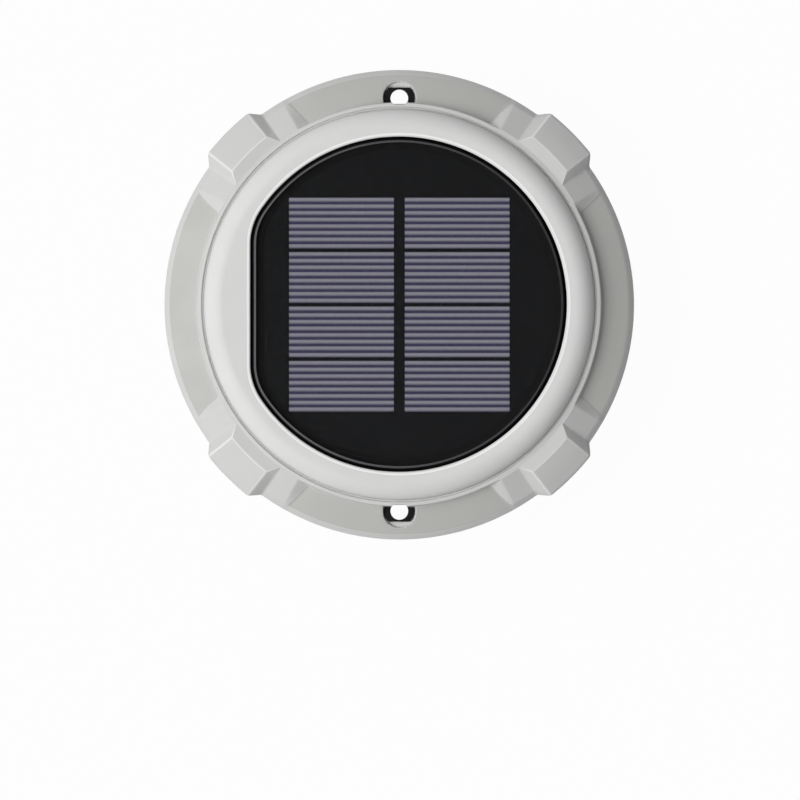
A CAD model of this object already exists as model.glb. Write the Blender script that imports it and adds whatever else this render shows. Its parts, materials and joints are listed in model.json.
import json
import math

import bmesh
import bpy
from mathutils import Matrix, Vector


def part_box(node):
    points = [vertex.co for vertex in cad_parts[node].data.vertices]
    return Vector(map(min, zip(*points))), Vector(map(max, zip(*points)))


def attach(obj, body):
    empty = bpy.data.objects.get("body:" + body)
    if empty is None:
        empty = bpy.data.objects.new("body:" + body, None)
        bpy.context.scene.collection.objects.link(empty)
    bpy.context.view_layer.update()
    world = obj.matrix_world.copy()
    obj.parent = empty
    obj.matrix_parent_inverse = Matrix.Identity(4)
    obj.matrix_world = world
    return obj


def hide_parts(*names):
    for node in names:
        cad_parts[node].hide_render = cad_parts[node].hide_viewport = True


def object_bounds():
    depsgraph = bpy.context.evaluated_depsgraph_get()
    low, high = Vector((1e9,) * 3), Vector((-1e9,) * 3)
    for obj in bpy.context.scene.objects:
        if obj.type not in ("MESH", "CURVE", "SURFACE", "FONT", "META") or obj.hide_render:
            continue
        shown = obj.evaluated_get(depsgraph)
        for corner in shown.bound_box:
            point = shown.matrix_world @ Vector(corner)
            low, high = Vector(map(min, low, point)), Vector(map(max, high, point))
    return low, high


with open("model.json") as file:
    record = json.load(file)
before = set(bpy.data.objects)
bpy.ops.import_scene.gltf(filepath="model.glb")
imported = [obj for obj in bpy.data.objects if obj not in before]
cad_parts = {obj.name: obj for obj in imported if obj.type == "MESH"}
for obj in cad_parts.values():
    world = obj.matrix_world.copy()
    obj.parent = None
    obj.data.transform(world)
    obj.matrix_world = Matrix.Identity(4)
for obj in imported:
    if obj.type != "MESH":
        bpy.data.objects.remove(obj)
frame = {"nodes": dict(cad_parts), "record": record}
cadLow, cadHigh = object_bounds()
mm = 0.001
print("frame loaded:", len(frame["nodes"]), "nodes")


def linear(hexCode):
    parts = [int(hexCode[k:k + 2], 16) / 255 for k in (0, 2, 4)]
    return tuple(c / 12.92 if c <= 0.04045 else ((c + 0.055) / 1.055) ** 2.4 for c in parts) + (1.0,)


def addNode(tree, kind, inputs=None, **settings):
    node = tree.nodes.new(kind)
    for name, value in settings.items():
        setattr(node, name, value)
    for name, value in (inputs or {}).items():
        if isinstance(value, bpy.types.NodeSocket):
            tree.links.new(value, node.inputs[name])
        else:
            node.inputs[name].default_value = value
    return node


def startMaterial(name):
    made = bpy.data.materials.new(name)
    made.use_nodes = True
    tree = made.node_tree
    return made, tree, tree.nodes["Principled BSDF"]


# nearly all of a noise lies between these
noiseLow, noiseHigh = 0.3, 0.7


# one recipe for moulded, cast and drawn stock: a broad tone drift, a fine grain in the bump, an uneven sheen
def grainedMaterial(name, look):
    made, tree, shader = startMaterial(name)
    place = addNode(tree, "ShaderNodeTexCoord").outputs["Object"]
    drift = addNode(tree, "ShaderNodeTexNoise", {"Vector": place, "Scale": 1 / (look["driftMm"] * mm),
                                                "Detail": 3.0})
    grain = addNode(tree, "ShaderNodeTexNoise", {"Vector": place, "Scale": 1 / (look["grainMm"] * mm),
                                                "Detail": 2.0})
    tone = addNode(tree, "ShaderNodeMix", {"Factor": drift.outputs["Fac"], "A": linear(look["tone"]),
                                          "B": linear(look["toneTo"])}, data_type="RGBA")
    sheen = addNode(tree, "ShaderNodeMapRange", {"Value": drift.outputs["Fac"],
                                                "From Min": noiseLow, "From Max": noiseHigh,
                                                "To Min": look["rough"], "To Max": look["roughTo"]})
    bump = addNode(tree, "ShaderNodeBump", {"Height": grain.outputs["Fac"], "Strength": look["bump"],
                                           "Distance": look["bumpMm"] * mm})
    tree.links.new(tone.outputs["Result"], shader.inputs["Base Color"])
    tree.links.new(sheen.outputs["Result"], shader.inputs["Roughness"])
    tree.links.new(bump.outputs["Normal"], shader.inputs["Normal"])
    shader.inputs["Metallic"].default_value = look.get("metallic", 0.0)
    if "ior" in look:
        shader.inputs["IOR"].default_value = look["ior"]
    if "specular" in look:
        shader.inputs["Specular IOR Level"].default_value = look["specular"]
    return made


finishes = {
    # ABS, injection moulded in a spark-eroded tool: satin grey with a fine even grain,
    # drawn coarser than the real 0.1 mm
    "grey_plastic": ("mouldedGreyAbs", {
        "tone": "d6d6d4", "toneTo": "cecfcd", "driftMm": 14, "grainMm": 0.35, "rough": 0.52, "roughTo": 0.60,
        "bump": 0.10, "bumpMm": 0.04, "ior": 1.54, "specular": 0.3}),
    # the ring's ABS, from a batch a shade darker than the bezel's
    "ring": ("mouldedRingAbs", {
        "tone": "c9c9c7", "toneTo": "c1c1c0", "driftMm": 14, "grainMm": 0.35, "rough": 0.48, "roughTo": 0.56,
        "bump": 0.10, "bumpMm": 0.04, "ior": 1.54, "specular": 0.3}),
    # the ring's ABS again, buffed along the pads' edges: thin pale lines
    "pad_edge": ("buffedRingAbs", {
        "tone": "dadad8", "toneTo": "d4d4d2", "driftMm": 14, "grainMm": 0.35, "rough": 0.42, "roughTo": 0.50,
        "bump": 0.05, "bumpMm": 0.04, "ior": 1.54, "specular": 0.3}),
    # the bezel's ABS again, buffed along the window's edge: a thin pale line
    "window_edge": ("buffedGreyAbs", {
        "tone": "ebebe9", "toneTo": "e6e6e4", "driftMm": 14, "grainMm": 0.35, "rough": 0.40, "roughTo": 0.46,
        "bump": 0.05, "bumpMm": 0.04, "ior": 1.54}),
    # the ring's ABS where the tool was left coarser: a shade darker and flatter
    "pocket": ("texturedGreyAbs", {
        "tone": "b4b4b0", "toneTo": "adadaa", "driftMm": 14, "grainMm": 0.45, "rough": 0.52, "roughTo": 0.60,
        "bump": 0.18, "bumpMm": 0.05, "ior": 1.54}),
    # ABS again, bright white for the inner plate: plain, a little glossy
    "white_plastic": ("mouldedWhiteAbs", {
        "tone": "e9e8e4", "toneTo": "dfded9", "driftMm": 9, "grainMm": 0.4, "rough": 0.35, "roughTo": 0.45,
        "bump": 0.12, "bumpMm": 0.03, "ior": 1.54}),
    # glass-filled nylon, moulded: black with a dusty grain
    "black_plastic": ("mouldedBlackNylon", {
        "tone": "151516", "toneTo": "1c1c1d", "driftMm": 6, "grainMm": 0.3, "rough": 0.42, "roughTo": 0.55,
        "bump": 0.20, "bumpMm": 0.03, "ior": 1.53}),
    # black film laminated under clear resin: no air above it, so hardly any gloss of its own
    "film": ("laminatedBlackFilm", {
        "tone": "0d0d0e", "toneTo": "121213", "driftMm": 12, "grainMm": 0.6, "rough": 0.55, "roughTo": 0.65,
        "bump": 0.05, "bumpMm": 0.02, "ior": 1.50, "specular": 0.06}),
    # the acrylic's milled rim, left frosted over black: a soft grey line
    "frosted_rim": ("frostedAcrylicRim", {
        "tone": "646466", "toneTo": "5c5c5e", "driftMm": 12, "grainMm": 0.6, "rough": 0.50, "roughTo": 0.60,
        "bump": 0.05, "bumpMm": 0.02, "ior": 1.49, "specular": 0.15}),
    # EPDM rubber, compression moulded: matt black that drinks light
    "black_rubber": ("mouldedBlackRubber", {
        "tone": "0b0b0c", "toneTo": "141414", "driftMm": 3, "grainMm": 0.25, "rough": 0.60, "roughTo": 0.75,
        "bump": 0.25, "bumpMm": 0.03, "ior": 1.50, "specular": 0.15}),
    # glass-epoxy board under white solder mask: milky, with the weave just felt
    "circuit_white": ("maskedCircuitBoard", {
        "tone": "ecebe6", "toneTo": "e2e2dc", "driftMm": 5, "grainMm": 0.8, "rough": 0.30, "roughTo": 0.42,
        "bump": 0.15, "bumpMm": 0.03, "ior": 1.55}),
    # stainless steel, cold headed: dull bright metal with drawing marks
    "steel": ("headedStainless", {
        "tone": "b9b9bb", "toneTo": "a6a6a9", "driftMm": 1.5, "grainMm": 0.2, "rough": 0.28, "roughTo": 0.40,
        "bump": 0.15, "bumpMm": 0.02, "metallic": 1.0}),
    # nickel plate on spring wire: warm grey mirror, slightly clouded
    "spring_metal": ("platedSpringWire", {
        "tone": "c6c1b6", "toneTo": "b4afa6", "driftMm": 1.2, "grainMm": 0.15, "rough": 0.22, "roughTo": 0.34,
        "bump": 0.10, "bumpMm": 0.02, "metallic": 1.0}),
    # heat-shrunk PVC sleeve on the cell: tight, glossy and green
    "battery_wrap": ("shrunkBatterySleeve", {
        "tone": "1f6b3a", "toneTo": "185a30", "driftMm": 5, "grainMm": 0.5, "rough": 0.22, "roughTo": 0.34,
        "bump": 0.08, "bumpMm": 0.03, "ior": 1.54}),
    # sintered ferrite: grey-black and chalky
    "ferrite": ("sinteredFerrite", {
        "tone": "2a2a2b", "toneTo": "353535", "driftMm": 2, "grainMm": 0.2, "rough": 0.60, "roughTo": 0.75,
        "bump": 0.30, "bumpMm": 0.03, "ior": 1.60}),
    # extruded PVC wire sleeves: smooth with a faint draw line
    "wire_red": ("extrudedRedPvc", {
        "tone": "b02a22", "toneTo": "9d241d", "driftMm": 2, "grainMm": 0.3, "rough": 0.32, "roughTo": 0.42,
        "bump": 0.10, "bumpMm": 0.02, "ior": 1.53}),
    "wire_black": ("extrudedBlackPvc", {
        "tone": "141415", "toneTo": "1d1d1e", "driftMm": 2, "grainMm": 0.3, "rough": 0.32, "roughTo": 0.42,
        "bump": 0.10, "bumpMm": 0.02, "ior": 1.53}),
    # silicone rubber, moulded: soft blue with a velvety sheen
    "button_silicone": ("mouldedBlueSilicone", {
        "tone": "3f78ad", "toneTo": "386c9d", "driftMm": 3, "grainMm": 0.3, "rough": 0.50, "roughTo": 0.62,
        "bump": 0.15, "bumpMm": 0.03, "ior": 1.42}),
}
materials = {slot: grainedMaterial(name, look) for slot, (name, look) in finishes.items()}

# acrylic, cast and polished: water clear with a hard gloss; lamp light passes straight through to the cells
cover, coverTree, coverShader = startMaterial("polishedClearAcrylic")
coverLook = {"tone": "f6f8fa", "haze": 0.03, "hazeTo": 0.06, "hazeMm": 25, "ior": 1.49, "specular": 0.35}
coverPlace = addNode(coverTree, "ShaderNodeTexCoord").outputs["Object"]
coverHaze = addNode(coverTree, "ShaderNodeTexNoise", {"Vector": coverPlace,
                                                     "Scale": 1 / (coverLook["hazeMm"] * mm)})
coverRough = addNode(coverTree, "ShaderNodeMapRange", {"Value": coverHaze.outputs["Fac"],
                                                      "To Min": coverLook["haze"], "To Max": coverLook["hazeTo"]})
coverTree.links.new(coverRough.outputs["Result"], coverShader.inputs["Roughness"])
coverShader.inputs["Base Color"].default_value = linear(coverLook["tone"])
coverShader.inputs["IOR"].default_value = coverLook["ior"]
coverShader.inputs["Specular IOR Level"].default_value = coverLook["specular"]
coverShader.inputs["Transmission Weight"].default_value = 1.0
coverRays = addNode(coverTree, "ShaderNodeLightPath")
coverClear = addNode(coverTree, "ShaderNodeBsdfTransparent")
coverLit = addNode(coverTree, "ShaderNodeMath", {0: coverRays.outputs["Is Shadow Ray"],
                                                1: coverRays.outputs["Is Diffuse Ray"]}, operation="MAXIMUM")
coverMix = addNode(coverTree, "ShaderNodeMixShader", {0: coverLit.outputs[0], 1: coverShader.outputs[0],
                                                     2: coverClear.outputs[0]})
coverTree.links.new(coverMix.outputs[0], coverTree.nodes["Material Output"].inputs["Surface"])
materials["clear_cover"] = cover

# polycarbonate, moulded in a blasted tool: milky, lets a soft blur of the inside through
lens, lensTree, lensShader = startMaterial("frostedPolycarbonate")
lensLook = {"tone": "e8eef0", "toneTo": "dfe7ea", "driftMm": 20, "grainMm": 0.5, "rough": 0.42, "roughTo": 0.52,
            "bump": 0.2, "bumpMm": 0.04, "ior": 1.58, "transmission": 0.45}
lensPlace = addNode(lensTree, "ShaderNodeTexCoord").outputs["Object"]
lensDrift = addNode(lensTree, "ShaderNodeTexNoise", {"Vector": lensPlace,
                                                    "Scale": 1 / (lensLook["driftMm"] * mm)})
lensGrain = addNode(lensTree, "ShaderNodeTexNoise", {"Vector": lensPlace,
                                                    "Scale": 1 / (lensLook["grainMm"] * mm)})
lensTone = addNode(lensTree, "ShaderNodeMix", {"Factor": lensDrift.outputs["Fac"], "A": linear(lensLook["tone"]),
                                              "B": linear(lensLook["toneTo"])}, data_type="RGBA")
lensRough = addNode(lensTree, "ShaderNodeMapRange", {"Value": lensDrift.outputs["Fac"],
                                                    "To Min": lensLook["rough"], "To Max": lensLook["roughTo"]})
lensBump = addNode(lensTree, "ShaderNodeBump", {"Height": lensGrain.outputs["Fac"], "Strength": lensLook["bump"],
                                               "Distance": lensLook["bumpMm"] * mm})
lensTree.links.new(lensTone.outputs["Result"], lensShader.inputs["Base Color"])
lensTree.links.new(lensRough.outputs["Result"], lensShader.inputs["Roughness"])
lensTree.links.new(lensBump.outputs["Normal"], lensShader.inputs["Normal"])
lensShader.inputs["IOR"].default_value = lensLook["ior"]
lensShader.inputs["Transmission Weight"].default_value = lensLook["transmission"]
materials["frosted_lens"] = lens

# silicon cells, cut and screen printed: violet-black strips between broad pale silver fingers
cellLow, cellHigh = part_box("solar_cell_1")
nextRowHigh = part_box("solar_cell_3")[1]
cellLook = {"finger": "8a8890", "silicon": "37344c", "border": "121216", "fingers": 8, "fingerShare": 0.52,
            "edgeMm": 0.35, "blurMm": 0.95, "grainMm": 0.9, "mottle": 0.88, "mottleTo": 1.08,
            "rough": 0.32, "roughTo": 0.55, "specular": 0.08}
cell, cellTree, cellShader = startMaterial("printedSiliconCell")
cellPlace = addNode(cellTree, "ShaderNodeTexCoord").outputs["Object"]
cellAxes = addNode(cellTree, "ShaderNodeSeparateXYZ", {"Vector": cellPlace})
cellHeight = cellHigh[1] - cellLow[1]
printHeight = cellLook["fingers"] - 1 + cellLook["fingerShare"]
fingerPitch = (cellHeight - 2 * cellLook["edgeMm"] * mm) / printHeight
rowPitch = cellHigh[1] - nextRowHigh[1]
# counted from ten rows further up, so that it is never negative
countedFrom = cellHigh[1] - cellLook["edgeMm"] * mm + 10 * rowPitch
fromTop = addNode(cellTree, "ShaderNodeMath", {0: countedFrom, 1: cellAxes.outputs["Y"]}, operation="SUBTRACT")
inRow = addNode(cellTree, "ShaderNodeMath", {0: fromTop.outputs[0], 1: rowPitch}, operation="MODULO")
pitches = addNode(cellTree, "ShaderNodeMath", {0: inRow.outputs[0], 1: fingerPitch}, operation="DIVIDE")
inPitch = addNode(cellTree, "ShaderNodeMath", {0: pitches.outputs[0]}, operation="FRACT")
# distance from the finger's middle, in pitches
halfFinger = cellLook["fingerShare"] / 2
offMiddle = addNode(cellTree, "ShaderNodeMath", {0: inPitch.outputs[0], 1: halfFinger}, operation="SUBTRACT")
awayFrom = addNode(cellTree, "ShaderNodeMath", {0: offMiddle.outputs[0]}, operation="ABSOLUTE")
halfBlur = cellLook["blurMm"] * mm / fingerPitch / 2
fingerMask = addNode(cellTree, "ShaderNodeMapRange", {"Value": awayFrom.outputs[0],
                                                     "From Min": halfFinger - halfBlur,
                                                     "From Max": halfFinger + halfBlur,
                                                     "To Min": 1.0, "To Max": 0.0},
                     interpolation_type="SMOOTHSTEP")
inPrint = addNode(cellTree, "ShaderNodeMath", {0: pitches.outputs[0], 1: printHeight + halfBlur},
                  operation="LESS_THAN")
silver = addNode(cellTree, "ShaderNodeMath", {0: fingerMask.outputs[0], 1: inPrint.outputs[0]},
                 operation="MULTIPLY")
cellGrain = addNode(cellTree, "ShaderNodeTexNoise", {"Vector": cellPlace,
                                                    "Scale": 1 / (cellLook["grainMm"] * mm), "Detail": 3.0})
base = addNode(cellTree, "ShaderNodeMix", {"Factor": inPrint.outputs[0], "A": linear(cellLook["border"]),
                                          "B": linear(cellLook["silicon"])}, data_type="RGBA")
printed = addNode(cellTree, "ShaderNodeMix", {"Factor": silver.outputs[0], "A": base.outputs["Result"],
                                             "B": linear(cellLook["finger"])}, data_type="RGBA")
mottled = addNode(cellTree, "ShaderNodeMapRange", {"Value": cellGrain.outputs["Fac"],
                                                  "To Min": cellLook["mottle"], "To Max": cellLook["mottleTo"]})
cellTone = addNode(cellTree, "ShaderNodeMix", {"Factor": 1.0, "A": printed.outputs["Result"],
                                              "B": mottled.outputs["Result"]},
                   data_type="RGBA", blend_type="MULTIPLY")
cellTree.links.new(cellTone.outputs["Result"], cellShader.inputs["Base Color"])
cellRough = addNode(cellTree, "ShaderNodeMapRange", {"Value": silver.outputs[0], "To Min": cellLook["rough"],
                                                    "To Max": cellLook["roughTo"]})
cellTree.links.new(cellRough.outputs["Result"], cellShader.inputs["Roughness"])
cellShader.inputs["Specular IOR Level"].default_value = cellLook["specular"]
materials["solar_silicon"] = cell

for part in frame["record"]["subparts"]:
    for slot in frame["nodes"][part["node"]].material_slots:
        slot.material = materials[part["material_slot"]]
frame["nodes"]["panel_board"].material_slots[0].material = materials["film"]
print("materials:", len(materials))


def inMm(box):
    return [[c / mm for c in corner] for corner in box]


def polar(radius, degrees, z=0.0):
    angle = math.radians(degrees)
    return Vector((radius * math.cos(angle), radius * math.sin(angle), z)) * mm


# points along one rounded corner, and the most of a side that it may take
cornerSteps, cornerMost = 4, 0.45


# each corner is (across, up, radius); every corner gives the same number of points, so sections of one piece match
def roundedSection(corners, steps=cornerSteps):
    points = []
    for k, (a, b, radius) in enumerate(corners):
        spot = Vector((a, b))
        before = Vector(corners[k - 1][:2]) - spot
        after = Vector(corners[(k + 1) % len(corners)][:2]) - spot
        reach = min(radius, before.length * cornerMost, after.length * cornerMost)
        start = spot + before.normalized() * reach
        end = spot + after.normalized() * reach
        for j in range(steps + 1):
            s = j / steps
            points.append(start * (1 - s) ** 2 + spot * 2 * s * (1 - s) + end * s ** 2)
    return points


# climbs from 0 to 1 as x does, with a soft bend at either end
def softRamp(x, soft):
    def rise(v):
        if v < -soft:
            return 0.0
        return v if v > soft else (v + soft) ** 2 / (4 * soft)
    return rise(x) - rise(x - 1)


def loft(name, loops, body, nodes, slot, joined=True):
    mesh = bmesh.new()
    rows = [[mesh.verts.new(p) for p in loop] for loop in loops]
    follow = rows[1:] + rows[:1] if joined else rows[1:]
    for row, after in zip(rows, follow):
        for k in range(len(row)):
            j = (k + 1) % len(row)
            mesh.faces.new((row[k], row[j], after[j], after[k]))
    if not joined:
        mesh.faces.new(rows[0][::-1])
        mesh.faces.new(rows[-1])
    return dress(name, mesh, body, nodes, slot)


weld = 0.0005 * mm


def dress(name, mesh, body, nodes, slot):
    bmesh.ops.remove_doubles(mesh, verts=mesh.verts, dist=weld)
    bmesh.ops.dissolve_degenerate(mesh, edges=mesh.edges, dist=weld)
    bmesh.ops.recalc_face_normals(mesh, faces=mesh.faces)
    data = bpy.data.meshes.new(name)
    mesh.to_mesh(data)
    mesh.free()
    data.shade_smooth()
    made = bpy.data.objects.new(name, data)
    bpy.context.collection.objects.link(made)
    data.materials.append(materials[slot])
    if body:
        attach(made, body)
        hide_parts(*nodes)
    return made


# large faces set the shading, so narrow turns between them read as crisp edges
def evenNormals(made):
    even = made.modifiers.new("evenNormals", "WEIGHTED_NORMAL")
    even.mode = "FACE_AREA"
    even.weight = 80


def carve(made, cutter, operation="DIFFERENCE"):
    cut = made.modifiers.new("cut", "BOOLEAN")
    cut.solver = "EXACT"
    cut.operation = operation
    cut.object = cutter
    ready = made.evaluated_get(bpy.context.evaluated_depsgraph_get())
    old = made.data
    made.data = bpy.data.meshes.new_from_object(ready)
    made.modifiers.remove(cut)
    bpy.data.objects.remove(cutter, do_unlink=True)
    bpy.data.meshes.remove(old)
    made.data.shade_smooth()


# outlines stacked upwards, to carve with
def cutterFrom(rows):
    return loft("cutter", rows, None, [], "grey_plastic", joined=False)


# stack of discs around an upright axis, each (radius, height)
def turnedCutter(centre, discs, turns=48):
    return cutterFrom([[centre + polar(r, 360 * k / turns, z) for k in range(turns)] for r, z in discs])


def middleOf(node):
    low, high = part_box(node)
    return Vector(((low[0] + high[0]) / 2, (low[1] + high[1]) / 2, 0.0))


# the pads' middles lie on the diagonals, and the pockets' middles as far from theirs
quarterTurn, padAt = 90, 45
# cutters start this far outside what they cut
clear = 1.0

# grip ring
ringLow, ringHigh = inMm(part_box("grip_ring"))
rim = ringHigh[0]
ring = {
    # lip, groove and ledge beside the bezel
    "lipIn": rim - 12.1, "lipWide": 1.0, "lipHigh": 1.1, "lipLean": 0.35, "lipDrop": 0.22, "footOut": 0.2,
    "footDrop": 0.2, "rebate": rim - 13.07, "grooveRise": 0.4, "grooveWide": 0.45,
    "ledge": ringLow[2] + 11.9, "ledgeThick": 2.1, "ledgeBore": rim - 27.1,
    # pads, pockets and the shoulders between them
    "padSlope": 4.0, "padOver": 2.9, "padFall": 6.0, "padEdge": 0.6, "padCrown": 0.35, "padInDrop": 1.2,
    "pocketDeep": 3.0, "pocketFall": 3.4, "pocketEdge": 2.0, "shoulderFall": 6.0, "shoulderEdge": 2.0,
    "edgeWide": 1.7,
    # shell and bayonet
    "web": 4.0, "wall": 2.2, "collar": rim - 15.1, "lugReach": 1.4, "lugHigh": 2.0,
    # degrees from a pad's middle
    "wallTop": 15.0, "floorIn": 18.4, "floorOut": 16.4, "padBase": 9.0, "padLip": 8.8, "padTop": 6.6,
    "beforeLug": 12.6, "lug": 11.0, "lugTurn": 0.4, "onLug": 10.2,
    # softness of the walls' bends, and how finely each stretch is drawn
    "softWall": 0.15, "softPad": 0.16, "floorSteps": 24, "wallSteps": 16, "padSteps": 8}
lipOut = ring["lipIn"] + ring["lipWide"]
lipTop = ring["ledge"] + ring["lipHigh"]
padIn = lipOut + ring["padSlope"]
edgeIn = rim - ring["edgeWide"]
under = ring["ledge"] - ring["ledgeThick"]


def ringSection(kind, lug):
    outer = rim
    lipFoot = lipOut + ring["footOut"]
    if kind == "pad":
        outer = rim + ring["padOver"]
        bend, end, crown = outer - ring["padEdge"], ringHigh[2] - ring["padFall"], ring["padCrown"]
        top = [(lipFoot, lipTop - ring["footDrop"], 0.3), (padIn, ringHigh[2] - ring["padInDrop"], 0.5)]
        edge = [(bend, end, 0.4), (outer, end - ring["padEdge"], 0.3)]
    else:
        sunken = kind == "pocket"
        start = lipTop - (ring["pocketDeep"] if sunken else ring["footDrop"])
        fall = ring[kind + "Fall"]
        bend, end, crown = edgeIn, (start if sunken else lipTop) - fall, 0.0
        top = [(lipFoot, start, 0.6 if sunken else 0.3),
               (padIn, end + fall * (edgeIn - padIn) / (edgeIn - lipOut), 0.1)]
        edge = [(bend, end, 0.5), (outer, end - ring[kind + "Edge"], 0.5)]
    # a pad swells a little between its edges
    top += [((padIn + bend) / 2, (top[1][1] + end) / 2 + crown, 4.0)] + edge
    low = ringLow[2]
    groove = ring["ledge"] + ring["grooveRise"]
    grooveOut = ring["rebate"] + ring["grooveWide"]
    web = min(top[0][1], ring["ledge"]) - ring["web"]
    collarOut = ring["collar"] + ring["wall"]
    lugIn = ring["collar"] - ring["lugReach"] * lug
    lugTop = low + ring["lugHigh"]
    return roundedSection([
        (ring["ledgeBore"], ring["ledge"], 0.2), (ring["rebate"], ring["ledge"], 0.1),
        (ring["rebate"], groove, 0.1), (grooveOut, groove, 0.15), (grooveOut + ring["lipLean"], lipTop, 0.25),
        (lipOut, lipTop - ring["lipDrop"], 0.3), *top, (outer, low, 0.5), (outer - ring["wall"], low, 0.4),
        (outer - ring["wall"], end - ring["web"], 0.6), (padIn, top[1][1] - ring["web"], 0.6),
        (collarOut, web, 0.6), (collarOut, low, 0.4), (lugIn, low, 0.3),
        (lugIn, lugTop - ring["lugReach"] * (1 - lug), 0.2), (ring["collar"], lugTop, 0.2),
        (ring["collar"], under, 0.3), (ring["ledgeBore"], under, 0.2)])


# angle at the lip, angle further out, how far out that is, then how much of pocket, pad and lug there is
def ringStations():
    half = []
    reach = edgeIn - lipOut
    soft, steps = ring["softWall"], ring["floorSteps"]
    wallIn = ring["floorIn"] - ring["wallTop"]
    wallOut = ring["floorOut"] - ring["wallTop"]
    startIn = ring["wallTop"] + wallIn * (1 + soft)
    startOut = ring["wallTop"] + wallOut * (1 + soft)
    for k in range(steps):
        atLip, further = [padAt + (start - padAt) * k / steps for start in (startIn, startOut)]
        half.append((atLip, further, reach, 1.0, 0.0, 0.0))
    steps = ring["wallSteps"]
    for k in range(steps + 1):
        s = 1 + soft - (1 + 2 * soft) * k / steps
        atLip, further = [ring["wallTop"] + wall * s for wall in (wallIn, wallOut)]
        half.append((atLip, further, reach, softRamp(s, soft), 0.0, 0.0))
    lugStart = ring["lug"] + ring["lugTurn"]
    for angle, lug in ((ring["beforeLug"], 0.0), (lugStart, 0.0), (ring["lug"], 1.0), (ring["onLug"], 1.0)):
        half.append((angle, angle, reach, 0.0, 0.0, lug))
    soft = ring["softPad"]
    for k in range(steps + 1):
        s = -soft + (1 + 2 * soft) * k / steps
        atLip, atTop = [ring["padBase"] + (end - ring["padBase"]) * s for end in (ring["padLip"], ring["padTop"])]
        half.append((atLip, atTop, ring["padSlope"], 0.0, softRamp(s, soft), 1.0))
    steps = ring["padSteps"]
    for k in range(1, steps):
        half.append((atLip * (1 - k / steps), atTop * (1 - k / steps), ring["padSlope"], 0.0, 1.0, 1.0))
    back = [(-a, -b, *rest) for a, b, *rest in half]
    return back + [(0.0, 0.0, reach, 0.0, 1.0, 1.0)] + half[:0:-1]


kinds = ("shoulder", "pocket", "pad")
sections = {(kind, lug): ringSection(kind, lug) for kind in kinds for lug in (0.0, 1.0)}
ringLoops = []
for quarter in range(4):
    for atLip, further, reach, pocketShare, padShare, lugShare in ringStations():
        loop = []
        for plain, sunken, raised in zip(*(sections[kind, lugShare] for kind in kinds)):
            r, z = plain + (sunken - plain) * pocketShare + (raised - plain) * padShare
            share = min(max((r - lipOut) / reach, 0), 1)
            loop.append(polar(r, padAt + quarterTurn * quarter + atLip + (further - atLip) * share, z))
        ringLoops.append(loop)
gripRing = loft("gripRing", ringLoops, "deck", ["grip_ring"], "grey_plastic")
gripRing.data.materials[0] = materials["ring"]

# eyelets in the north and south pockets; an even number of points, so that none lies on the ring's own middle line
eyelet = {"out": rim - 9.4, "hole": 2.9, "holeStraight": ring["lipIn"] + 0.6, "seat": 5.3, "seatZ": lipTop - 6.5,
          "straight": lipOut + 0.1, "bevel": 0.45, "bevelOver": 0.05, "seatClear": 4.0, "points": 72,
          "linerGap": 0.3, "linerThick": 1.0, "linerFlat": 3.5, "linerSteps": 64}


def pocketFloor(y):
    return lipTop - ring["pocketDeep"] - ring["pocketFall"] / (edgeIn - lipOut) * (abs(y) - lipOut)


# outline of a disc around an eyelet, straight where it meets the lip
def eyeletRow(side, radius, straight, height):
    low = math.asin((straight - eyelet["out"]) / radius)
    row = []
    for k in range(eyelet["points"]):
        angle = low + (math.pi - 2 * low) * k / (eyelet["points"] - 1)
        y = eyelet["out"] + radius * math.sin(angle)
        row.append(Vector((side * radius * math.cos(angle), side * y, height(y))) * mm)
    return row


for side in (1, -1):
    rows = []
    for level in (ringLow[2] - clear, cadHigh[2] / mm):
        rows.append(eyeletRow(side, eyelet["hole"], eyelet["holeStraight"], lambda y: level))
    carve(gripRing, cutterFrom(rows))
    rows = [eyeletRow(side, eyelet["seat"], eyelet["straight"], lambda y: eyelet["seatZ"])]
    bevel = eyelet["bevel"]
    for grow, level in ((0.0, -bevel), (bevel, eyelet["bevelOver"]), (bevel, eyelet["seatClear"])):
        rows.append(eyeletRow(side, eyelet["seat"] + grow, eyelet["straight"], lambda y: pocketFloor(y) + level))
    carve(gripRing, cutterFrom(rows))
# countersunk holes in the ledge for the screws that hold the bezel
sink = {"bore": 1.6, "head": 2.6, "headHigh": 1.6}
for k in range(1, 5):
    discs = [(sink["head"], under - clear), (sink["head"], under), (sink["bore"], under + sink["headHigh"]),
             (sink["bore"], ring["ledge"] + clear)]
    carve(gripRing, turnedCutter(middleOf(f"deck_screw_{k}"), discs))
# the sunken floors have the tool's rougher, darker texture
texture = {"start": 0.6, "up": 0.7, "near": 0.2}
gripRing.data.materials.append(materials["pocket"])
for face in gripRing.data.polygons:
    across = math.hypot(face.center.x, face.center.y) / mm
    offFloor = abs(face.center.z / mm - pocketFloor(across))
    if lipOut + texture["start"] < across < edgeIn and face.normal.z > texture["up"] and offFloor < texture["near"]:
        face.material_index = 1
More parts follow.
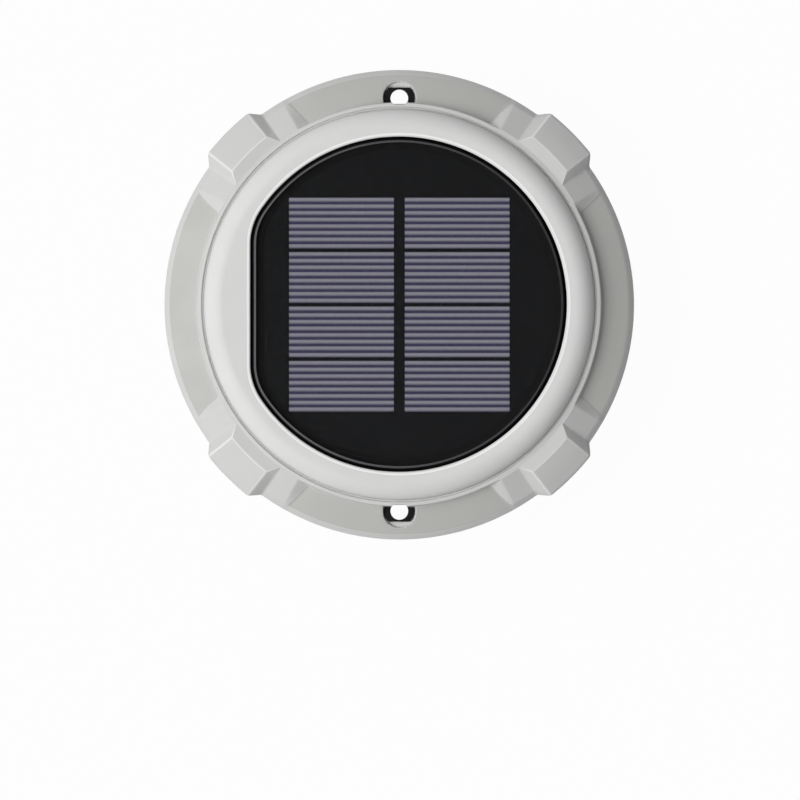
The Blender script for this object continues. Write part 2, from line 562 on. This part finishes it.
# the pads' inner and side edges are buffed; a side wall climbs from 0 at its foot to 1 at its top
buff = {"inner": 0.3, "sideFrom": 0.91, "sideTo": 1.16, "start": 0.4, "up": 0.2}
gripRing.data.materials.append(materials["pad_edge"])
for face in gripRing.data.polygons:
    across = math.hypot(face.center.x, face.center.y) / mm
    fromMiddle = abs(math.degrees(math.atan2(face.center.y, face.center.x)) % quarterTurn - padAt)
    share = min(max((across - lipOut) / ring["padSlope"], 0), 1)
    wall = ring["padBase"] - ring["padLip"] - (ring["padTop"] - ring["padLip"]) * share
    climbed = (ring["padBase"] - fromMiddle) / wall
    onInner = abs(across - padIn) < buff["inner"] and climbed > 1
    if face.normal.z > buff["up"] and across > lipOut + buff["start"]:
        if onInner or buff["sideFrom"] < climbed < buff["sideTo"]:
            face.material_index = 2
evenNormals(gripRing)
print("grip ring:", len(gripRing.data.polygons), "faces")

# black liners, open towards the lip
for side, name in ((1, "north"), (-1, "south")):
    low = eyelet["straight"] + eyelet["linerGap"] - eyelet["out"]
    outer = eyelet["seat"] - eyelet["linerGap"]
    base = eyelet["seatZ"] + eyelet["linerGap"]
    inStart = math.asin(low / eyelet["hole"])
    outStart = math.asin(low / outer)
    steps, thick = eyelet["linerSteps"], eyelet["linerThick"]
    loops = []
    for k in range(steps + 1):
        inAngle = inStart + (math.pi - 2 * inStart) * k / steps
        outAngle = outStart + (math.pi - 2 * outStart) * k / steps
        reach = outer
        if math.sin(outAngle) * outer > eyelet["linerFlat"]:
            reach = eyelet["linerFlat"] / math.sin(outAngle)
        near = Vector((math.cos(inAngle), math.sin(inAngle))) * eyelet["hole"]
        far = Vector((math.cos(outAngle), math.sin(outAngle))) * reach
        wide = (far - near).length
        loop = []
        for a, b in roundedSection([(0, 0, 0.1), (wide, 0, 0.1), (wide, thick, 0.3), (0, thick, 0.3)]):
            spot = near + (far - near) * a / wide
            loop.append(Vector((side * spot.x, side * (eyelet["out"] + spot.y), base + b)) * mm)
        loops.append(loop)
    evenNormals(loft("eyeletLiner." + name, loops, "deck", ["eyelet_liner_" + name], "black_rubber", joined=False))
print("eyelet liners")

# solar bezel with its flat-sided window, and the cover in it
bezelHigh = inMm(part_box("solar_bezel"))[1]
coverLow, coverHigh = inMm(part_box("panel_cover"))
bezel = {"slope": 6.4, "slopeSteps": 28, "turns": 540, "under": ring["ledge"] + 0.3, "underEdge": 0.2,
         "seat": ring["ledge"] + 2.1, "opening": 40.0, "edge": 0.6, "corner": 20.3, "paleEdge": 1.2,
         "gasket": 62.3, "gasketHalf": 1.1, "gasketDeep": 0.6, "gasketRound": 0.05,
         "boss": 3.0, "bossRoot": 0.3, "bossPilot": 1.4, "bossDeep": 3.0, "deckPilot": 1.5, "deckDeep": 3.9,
         "topSlack": 0.01, "seatSlack": 0.05, "sideSlack": 0.1}
pane = {"gap": 0.5, "border": 3.5, "rimStart": 0.6, "rimWide": 0.7, "rimHigh": 0.95, "rimFall": 0.1,
        "rimTurn": 0.07, "rimUpright": 0.3, "rimLevel": 0.9}
window = coverHigh[0] + pane["gap"]
windowFlat = -coverLow[0] + pane["gap"]


# how far the window reaches in one direction, drawn in by an inset
def windowReach(degrees, inset):
    radius = window - inset
    flat = windowFlat - inset
    corner = bezel["corner"] - inset
    turn = math.radians(degrees)
    heading = Vector((math.cos(turn), abs(math.sin(turn))))
    middle = Vector((corner - flat, math.sqrt((radius - corner) ** 2 - (flat - corner) ** 2)))
    angle = math.atan2(heading.y, heading.x)
    if angle <= math.atan2(middle.y, middle.x):
        return radius
    if angle >= math.atan2(middle.y, -flat):
        return -flat / heading.x
    along = heading.dot(middle)
    return along + math.sqrt(along ** 2 - middle.length_squared + corner ** 2)


gasketIn, gasketOut = bezel["gasket"] - bezel["gasketHalf"], bezel["gasket"] + bezel["gasketHalf"]
gasketTop = bezel["under"] + bezel["gasketDeep"]
gasketSeat = [(r, z, bezel["gasketRound"]) for r, z in (
    (gasketIn, bezel["under"]), (gasketIn, gasketTop), (gasketOut, gasketTop), (gasketOut, bezel["under"]))]
slope = []
for k in range(bezel["slopeSteps"] + 1):
    swing = math.pi / 2 * k / bezel["slopeSteps"]
    slope.append((bezelHigh[0] - bezel["slope"] * (1 - math.cos(swing)),
                  bezel["under"] + (bezelHigh[2] - bezel["under"]) * math.sin(swing)))
headings = [360 * k / bezel["turns"] for k in range(bezel["turns"])]
bezelLoops = []
for degrees in headings:
    edge = windowReach(degrees, 0)
    # the first corner is the slope's own end and is dropped again
    inside = roundedSection([
        (bezelHigh[0] - bezel["slope"], bezelHigh[2], 0.0), (edge + bezel["paleEdge"], bezelHigh[2], 0.0),
        (edge, bezelHigh[2], bezel["edge"]), (edge, bezel["seat"], 0.15), (bezel["opening"], bezel["seat"], 0.2),
        (bezel["opening"], bezel["under"], 0.2), *gasketSeat,
        (bezelHigh[0] - bezel["underEdge"], bezel["under"], 0.1)])[cornerSteps + 1:]
    bezelLoops.append([polar(r, degrees, z) for r, z in slope + inside])
solarBezel = loft("solarBezel", bezelLoops, "deck", ["solar_bezel"], "grey_plastic")
# bosses for the carrier's screws, and the pilot holes that all the screws bite into
for k in range(1, 5):
    carrierScrew, deckScrew = middleOf(f"carrier_screw_{k}"), middleOf(f"deck_screw_{k}")
    for centre, size, low, high, operation in (
            (carrierScrew, "boss", under, bezel["under"] + bezel["bossRoot"], "UNION"),
            (carrierScrew, "bossPilot", under - clear, under + bezel["bossDeep"], "DIFFERENCE"),
            (deckScrew, "deckPilot", under, bezel["under"] + bezel["deckDeep"], "DIFFERENCE")):
        carve(solarBezel, turnedCutter(centre, [(bezel[size], low), (bezel[size], high)]), operation)
# a pale line round the window, and its recess painted black
solarBezel.data.materials.append(materials["window_edge"])
solarBezel.data.materials.append(materials["film"])
recessLow, recessHigh = bezel["seat"] - bezel["seatSlack"], bezelHigh[2] - bezel["edge"] / 2
for face in solarBezel.data.polygons:
    across, height = math.hypot(face.center.x, face.center.y) / mm, face.center.z / mm
    edge = windowReach(math.degrees(math.atan2(face.center.y, face.center.x)), 0)
    if height > bezelHigh[2] - bezel["topSlack"] and across < edge + bezel["paleEdge"]:
        face.material_index = 1
    elif recessLow < height < recessHigh and across < edge + bezel["sideSlack"]:
        face.material_index = 2
evenNormals(solarBezel)
# the cover's edge as (inset, height): a border underneath, an upright side, a low step,
# and a slanting rim with narrow turns
rimFoot = coverHigh[2] - pane["rimHigh"]
coverSection = [(pane["border"], coverLow[2]), (0.0, coverLow[2]), (0.0, rimFoot - pane["rimFall"])]
for share in (0.0, pane["rimTurn"], 1 - pane["rimTurn"], 1.0):
    coverSection.append((pane["rimStart"] + pane["rimWide"] * share, rimFoot + pane["rimHigh"] * share))
coverRows = []
for inset, z in coverSection:
    coverRows.append([polar(windowReach(degrees, pane["gap"] + inset), degrees, z) for degrees in headings])
panelCover = loft("panelCover", coverRows, "deck", ["panel_cover"], "clear_cover", joined=False)
# the cut edge, the step and a border underneath are black, and the slanting rim is frosted
panelCover.data.materials.append(materials["film"])
panelCover.data.materials.append(materials["frosted_rim"])
for face in panelCover.data.polygons:
    if len(face.vertices) == 4:
        face.material_index = 2 if pane["rimUpright"] < face.normal.z < pane["rimLevel"] else 1
evenNormals(panelCover)
print("bezel and cover")

# lens bowl
bowlHigh = inMm(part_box("lens_bowl"))[1]
bowl = {"neck": ring["collar"] - ring["lugReach"] - 0.4, "neckWall": 3.0, "wall": 2.4, "foot": 31.0,
        "footIn": 24.2, "footSlant": 0.4, "step": 1.2, "floor": 2.2, "curveTop": ringLow[2] - 2.0,
        "curveSteps": 24, "lugLow": ringLow[2] + 2.3, "lugHigh": 1.6, "lugSlant": 0.01,
        "stopLow": ringLow[2] + 0.4, "grooveUp": 0.7, "groove": 2.3, "grooveDeep": 0.9, "bore": 6.3,
        "flare": 1.7, "guide": 2.6, "guideTop": 8.0,
        # degrees from a pad's middle
        "plainTo": -14.0, "stops": (-13.6, -12.6, -11.6), "lugFrom": -11.2, "lugTo": 11.0, "plainFrom": 11.4,
        "lugSteps": 16, "plainSteps": 48}


def bowlSection(lug, stop):
    neck = bowl["neck"]
    neckIn = neck - bowl["neckWall"]
    lugTop = bowl["lugLow"] + bowl["lugHigh"]
    inside = bowl["step"] + bowl["floor"]
    start = bowl["foot"] - bowl["wall"]
    out = []
    back = []
    for k in range(bowl["curveSteps"] + 1):
        swing = math.pi / 2 * k / bowl["curveSteps"]
        out.append((bowl["foot"] + (neck - bowl["foot"]) * math.sin(swing),
                    bowl["curveTop"] * (1 - math.cos(swing)), 0.15))
        back.append((start + (neckIn - start) * math.sin(swing),
                     inside + (bowl["curveTop"] - inside) * (1 - math.cos(swing)), 0.15))
    lugLow = bowl["stopLow"] if stop else bowl["lugLow"]
    lugOut = neck + ring["lugReach"] * lug
    grooveLow = lugTop + bowl["grooveUp"]
    grooveTop = grooveLow + bowl["groove"]
    grooveIn = neck - bowl["grooveDeep"]
    guide = bowl["bore"] + bowl["guide"]
    return roundedSection([
        (bowl["bore"], bowl["step"] + bowl["flare"], 0.3), (bowl["bore"] + bowl["flare"], bowl["step"], 0.5),
        (bowl["footIn"] - bowl["footSlant"], bowl["step"], 0.4), (bowl["footIn"], 0.0, 0.4), *out,
        (neck, lugLow, 0.1), (lugOut, lugLow + bowl["lugSlant"], 0.2), (lugOut, lugTop - bowl["lugSlant"], 0.2),
        (neck, lugTop, 0.1), (neck, grooveLow, 0.1), (grooveIn, grooveLow, 0.1), (grooveIn, grooveTop, 0.1),
        (neck, grooveTop, 0.1), (neck, bowlHigh[2], 0.3), (neckIn, bowlHigh[2], 0.3), *reversed(back),
        (guide, inside, 0.4), (guide, bowl["guideTop"], 0.3), (bowl["bore"], bowl["guideTop"], 0.3)], 2)


plainBowl = bowlSection(0.0, False)
lugBowl = bowlSection(1.0, False)
stopBowl = bowlSection(1.0, True)
lugSpan = bowl["lugTo"] - bowl["lugFrom"]
plainSpan = quarterTurn + bowl["plainTo"] - bowl["plainFrom"]
around = [(bowl["plainTo"], plainBowl), *((angle, stopBowl) for angle in bowl["stops"])]
for k in range(bowl["lugSteps"] + 1):
    around.append((bowl["lugFrom"] + lugSpan * k / bowl["lugSteps"], lugBowl))
for k in range(bowl["plainSteps"]):
    around.append((bowl["plainFrom"] + plainSpan * k / bowl["plainSteps"], plainBowl))
bowlLoops = []
for quarter in range(4):
    for angle, section in around:
        bowlLoops.append([polar(r, padAt + quarterTurn * quarter + angle, z) for r, z in section])
lensBowl = loft("lensBowl", bowlLoops, "bowl", ["lens_bowl"], "frosted_lens")
evenNormals(lensBowl)
print("lens bowl:", len(lensBowl.data.polygons), "faces")

# power button
buttonLow, buttonHigh = inMm(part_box("power_button"))
button = {"radius": 6.0, "flangeHigh": 1.0, "groove": 1.0, "grooveWide": 1.4, "dish": 0.35, "dishWide": 3.6,
          "dishSlant": 0.6, "turns": 96}
flange = buttonHigh[2] - button["flangeHigh"]
waist = button["radius"] - button["groove"]
dish = buttonLow[2] + button["dish"]
grooveMid = (buttonLow[2] + bowl["guideTop"]) / 2
grooveLow, grooveTop = grooveMid - button["grooveWide"] / 2, grooveMid + button["grooveWide"] / 2
buttonSection = roundedSection([
    (0.0, buttonHigh[2], 0.0), (buttonHigh[0], buttonHigh[2], 0.2), (buttonHigh[0], flange, 0.2),
    (button["radius"], flange, 0.1), (button["radius"], grooveTop, 0.1), (waist, grooveTop, 0.1),
    (waist, grooveLow, 0.1), (button["radius"], grooveLow, 0.1), (button["radius"], buttonLow[2], 0.7),
    (button["dishWide"], buttonLow[2], 0.5), (button["dishWide"] - button["dishSlant"], dish, 0.5), (0.0, dish, 0.0)])
buttonLoops = []
for k in range(button["turns"]):
    buttonLoops.append([polar(r, 360 * k / button["turns"], z) for r, z in buttonSection])
evenNormals(loft("powerButton", buttonLoops, "button", ["power_button"], "button_silicone"))
print("power button")

# studio: pale floor, soft key lamp from the left, bright walls and a dark ceiling around the camera
studio = {"floorTone": "c6c6c6", "floorToneTo": "c0c0c0", "floorSize": 40.0, "floorMm": 40, "floorRough": 0.9,
          "white": 0.97, "roomTone": "f6f7f9", "wall": 0.40, "ceiling": 0.03, "ceilingFrom": 0.90,
          "ceilingTo": 0.98, "side": 0.70, "leftwards": 0.55, "endwards": 0.50,
          "keyFrom": 187, "keyUp": 58, "keyAway": 600, "keySpread": 52, "keyStrength": 2.65}
floorMesh = bmesh.new()
bmesh.ops.create_grid(floorMesh, x_segments=1, y_segments=1, size=studio["floorSize"])
floorData = bpy.data.meshes.new("paleFloor")
floorMesh.to_mesh(floorData)
floorMesh.free()
floor = bpy.data.objects.new("paleFloor", floorData)
bpy.context.collection.objects.link(floor)
floor.location.z = cadLow[2]
# matt painted board: white to the eye, with a few hundredths of its tone left to carry the shadow
floorMaterial, floorTree, floorShader = startMaterial("paintedPaleBoard")
floorPlace = addNode(floorTree, "ShaderNodeTexCoord").outputs["Object"]
floorNoise = addNode(floorTree, "ShaderNodeTexNoise", {"Vector": floorPlace, "Scale": 1 / (studio["floorMm"] * mm)})
floorTone = addNode(floorTree, "ShaderNodeMix", {"Factor": floorNoise.outputs["Fac"],
                                                "A": linear(studio["floorTone"]),
                                                "B": linear(studio["floorToneTo"])}, data_type="RGBA")
floorTree.links.new(floorTone.outputs["Result"], floorShader.inputs["Base Color"])
floorShader.inputs["Roughness"].default_value = studio["floorRough"]
floorRays = addNode(floorTree, "ShaderNodeLightPath")
seenOrShiny = addNode(floorTree, "ShaderNodeMath", {0: floorRays.outputs["Is Camera Ray"],
                                                   1: floorRays.outputs["Is Glossy Ray"]}, operation="MAXIMUM")
seen = addNode(floorTree, "ShaderNodeMath", {0: seenOrShiny.outputs[0],
                                            1: floorRays.outputs["Is Transmission Ray"]}, operation="MAXIMUM")
whiteShare = addNode(floorTree, "ShaderNodeMath", {0: seen.outputs[0], 1: studio["white"]}, operation="MULTIPLY")
floorGlow = addNode(floorTree, "ShaderNodeEmission", {"Color": (1.0, 1.0, 1.0, 1.0), "Strength": 1.0})
floorMix = addNode(floorTree, "ShaderNodeMixShader", {0: whiteShare.outputs[0], 1: floorShader.outputs[0],
                                                     2: floorGlow.outputs[0]})
# from below the board is clear, so that the underside can be looked at
floorSide = addNode(floorTree, "ShaderNodeNewGeometry")
floorClear = addNode(floorTree, "ShaderNodeBsdfTransparent")
floorSides = addNode(floorTree, "ShaderNodeMixShader", {0: floorSide.outputs["Backfacing"], 1: floorMix.outputs[0],
                                                       2: floorClear.outputs[0]})
floorTree.links.new(floorSides.outputs[0], floorTree.nodes["Material Output"].inputs["Surface"])
floorData.materials.append(floorMaterial)

world = bpy.data.worlds.new("room")
bpy.context.scene.world = world
world.use_nodes = True
roomTree = world.node_tree
roomWay = addNode(roomTree, "ShaderNodeTexCoord").outputs["Generated"]
roomUp = addNode(roomTree, "ShaderNodeSeparateXYZ", {"Vector": roomWay})
roomLevel = addNode(roomTree, "ShaderNodeMapRange", {"Value": roomUp.outputs["Z"],
                                                    "From Min": studio["ceilingFrom"],
                                                    "From Max": studio["ceilingTo"], "To Min": studio["wall"],
                                                    "To Max": studio["ceiling"]}, interpolation_type="SMOOTHSTEP")
# the wall on the lamp's side is brighter than the one across from it, and so are both ends of the room
roomSide = addNode(roomTree, "ShaderNodeMath", {0: roomUp.outputs["X"], 1: -studio["leftwards"],
                                               2: studio["side"]}, operation="MULTIPLY_ADD")
roomEnds = addNode(roomTree, "ShaderNodeMath", {0: roomUp.outputs["Y"], 1: roomUp.outputs["Y"]},
                   operation="MULTIPLY")
roomShare = addNode(roomTree, "ShaderNodeMath", {0: roomEnds.outputs[0], 1: studio["endwards"],
                                                2: roomSide.outputs[0]}, operation="MULTIPLY_ADD")
roomLight = addNode(roomTree, "ShaderNodeMath", {0: roomLevel.outputs["Result"], 1: roomShare.outputs[0]},
                    operation="MULTIPLY")
roomTree.links.new(roomLight.outputs[0], roomTree.nodes["Background"].inputs["Strength"])
roomTree.nodes["Background"].inputs["Color"].default_value = linear(studio["roomTone"])

keyData = bpy.data.lights.new("keyLamp", "SUN")
keyData.angle = math.radians(studio["keySpread"])
keyData.energy = studio["keyStrength"]
key = bpy.data.objects.new("keyLamp", keyData)
bpy.context.collection.objects.link(key)
keyUp = math.radians(studio["keyUp"])
key.location = polar(studio["keyAway"] * math.cos(keyUp), studio["keyFrom"], studio["keyAway"] * math.sin(keyUp))
key.rotation_euler = (-key.location).to_track_quat("-Z", "Y").to_euler()
print("studio")

# camera straight above; the photo has the light's middle 0.7 pixels left of its centre and 95.6 above it
view = {"lens": 300.0, "sensor": 36.0, "mmPerPixel": 0.3272, "pixels": 800, "right": 0.7, "down": 95.6,
        "level": 44.0, "sees": 20}
cameraData = bpy.data.cameras.new("photoCamera")
cameraData.lens = view["lens"]
cameraData.sensor_width = view["sensor"]
cameraData.clip_end = view["sees"]
camera = bpy.data.objects.new("photoCamera", cameraData)
bpy.context.collection.objects.link(camera)
away = view["mmPerPixel"] * view["pixels"] * view["lens"] / view["sensor"]
camera.location = Vector((view["right"] * view["mmPerPixel"], -view["down"] * view["mmPerPixel"],
                          view["level"] + away)) * mm
bpy.context.scene.camera = camera
bpy.context.scene.view_settings.view_transform = "Standard"

print("done")
